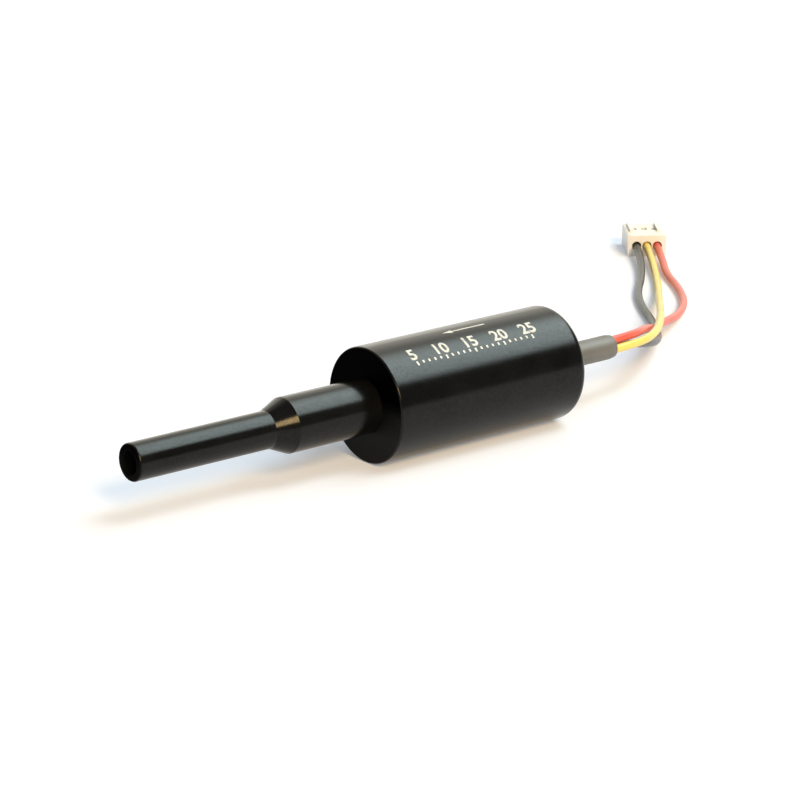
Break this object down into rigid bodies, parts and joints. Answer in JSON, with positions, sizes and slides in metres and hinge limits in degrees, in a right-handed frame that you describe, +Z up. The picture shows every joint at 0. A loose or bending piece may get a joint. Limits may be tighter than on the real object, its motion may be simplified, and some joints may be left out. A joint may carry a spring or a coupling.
{
  "type": "airspeed pitot probe with built-in pressure sensor",
  "caption": "Slim pitot probe: open nose tube, cone and neck on a round sensor barrel, with a thin three-wire lead and plug at the rear.",
  "frame": {"origin": "on the surface that the barrel lies on, below the middle of the length from the nose to the mouth of the lead's sleeve", "axes": "+Z up, X along the probe's axis with the nose towards -X, the lead leaves towards +X"},
  "size_m": [0.1449, 0.0696, 0.016],
  "materials": {
    "anodised_aluminium": "black anodised, bead blasted, satin",
    "zinc_steel": "satin",
    "black_rubber": "matt",
    "silicone_hose": "translucent satin",
    "sensor_plastic": "moulded matt",
    "carrier_nylon": "moulded matt",
    "board_laminate": "green solder mask",
    "tin": "tinned",
    "ceramic": "fired ceramic",
    "shrink_sleeve": "satin",
    "wire_red": "satin silicone",
    "wire_yellow": "satin silicone",
    "wire_black": "satin silicone",
    "plug_nylon": "natural nylon"
  },
  "bodies": {
    "root": {"probe": "anodised_aluminium", "housing": "anodised_aluminium", "rear_cap": "anodised_aluminium", "probe_nut": "zinc_steel", "probe_seal": "black_rubber", "lead_sealant": "black_rubber", "pressure_hose": "silicone_hose", "pressure_sensor": "sensor_plastic", "microcontroller": "sensor_plastic", "voltage_regulator": "sensor_plastic", "board_carrier": "carrier_nylon", "circuit_board": "board_laminate", "sensor_leads": "tin", "solder_joints": "tin", "plug_contacts": "tin", "capacitors": "ceramic", "resistors": "ceramic", "lead_sleeve": "shrink_sleeve", "wire_red": "wire_red", "wire_yellow": "wire_yellow", "wire_black": "wire_black", "plug_housing": "plug_nylon"}
  },
  "joints": []
}
